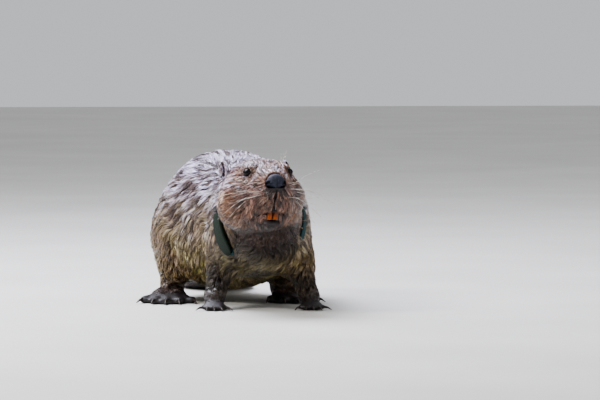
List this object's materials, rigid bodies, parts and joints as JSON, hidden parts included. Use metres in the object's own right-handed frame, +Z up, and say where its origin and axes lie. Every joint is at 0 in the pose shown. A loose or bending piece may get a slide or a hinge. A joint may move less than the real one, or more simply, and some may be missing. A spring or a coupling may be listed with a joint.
{
  "type": "beaver",
  "caption": "Life-size still model of a beaver standing on all fours with its head raised and turned, paddle tail flat on the floor, in a webbing harness.",
  "frame": {"origin": "centre of the bounding box at floor level", "axes": "+Z up; the beaver faces -Y, its left side is +X; +Y runs back along the body to the tail's tip"},
  "size_m": [0.2968, 0.8274, 0.2387],
  "materials": {
    "body_fur": "wet coat of long guard hairs, brown with a pale sheen",
    "face_fur": "wet short fur, golden brown on the cheeks",
    "ear_skin": "short dark fur with a paler rim",
    "nose_skin": "bare dark grey skin, matt and damp",
    "eye": "dark and glossy",
    "enamel": "orange enamel",
    "foot_skin": "dark bare skin, lightly creased",
    "tail_skin": "dark scaly skin",
    "claw": "dark horn",
    "webbing": "narrow flat woven strap, teal",
    "panel": "wide dark green woven band, wet",
    "buckle": "black moulded plastic"
  },
  "bodies": {
    "root": {"head": "face_fur", "lower_jaw": "face_fur", "nose_pad": "nose_skin", "ear_left": "ear_skin", "ear_right": "ear_skin", "eye_left": "eye", "eye_right": "eye", "incisor_left": "enamel", "incisor_right": "enamel", "neck": "body_fur", "trunk_front": "body_fur", "trunk_rear": "body_fur", "tail_root": "body_fur", "tail_blade": "tail_skin", "foreleg_left": "body_fur", "foreleg_right": "body_fur", "hindleg_left": "body_fur", "hindleg_right": "body_fur", "forepaw_left": "foot_skin", "forepaw_right": "foot_skin", "hindfoot_left": "foot_skin", "hindfoot_right": "foot_skin", "claw_fore_left_1": "claw", "claw_fore_left_2": "claw", "claw_fore_left_3": "claw", "claw_fore_left_4": "claw", "claw_fore_left_5": "claw", "claw_fore_right_1": "claw", "claw_fore_right_2": "claw", "claw_fore_right_3": "claw", "claw_fore_right_4": "claw", "claw_fore_right_5": "claw", "claw_hind_left_1": "claw", "claw_hind_left_2": "claw", "claw_hind_left_3": "claw", "claw_hind_left_4": "claw", "claw_hind_left_5": "claw", "claw_hind_right_1": "claw", "claw_hind_right_2": "claw", "claw_hind_right_3": "claw", "claw_hind_right_4": "claw", "claw_hind_right_5": "claw", "harness_back_strap": "webbing", "harness_buckle": "buckle", "harness_chest_strap": "webbing", "harness_girth": "webbing", "harness_neck_loop": "webbing", "harness_panel": "panel", "harness_slider": "buckle"}
  },
  "joints": []
}
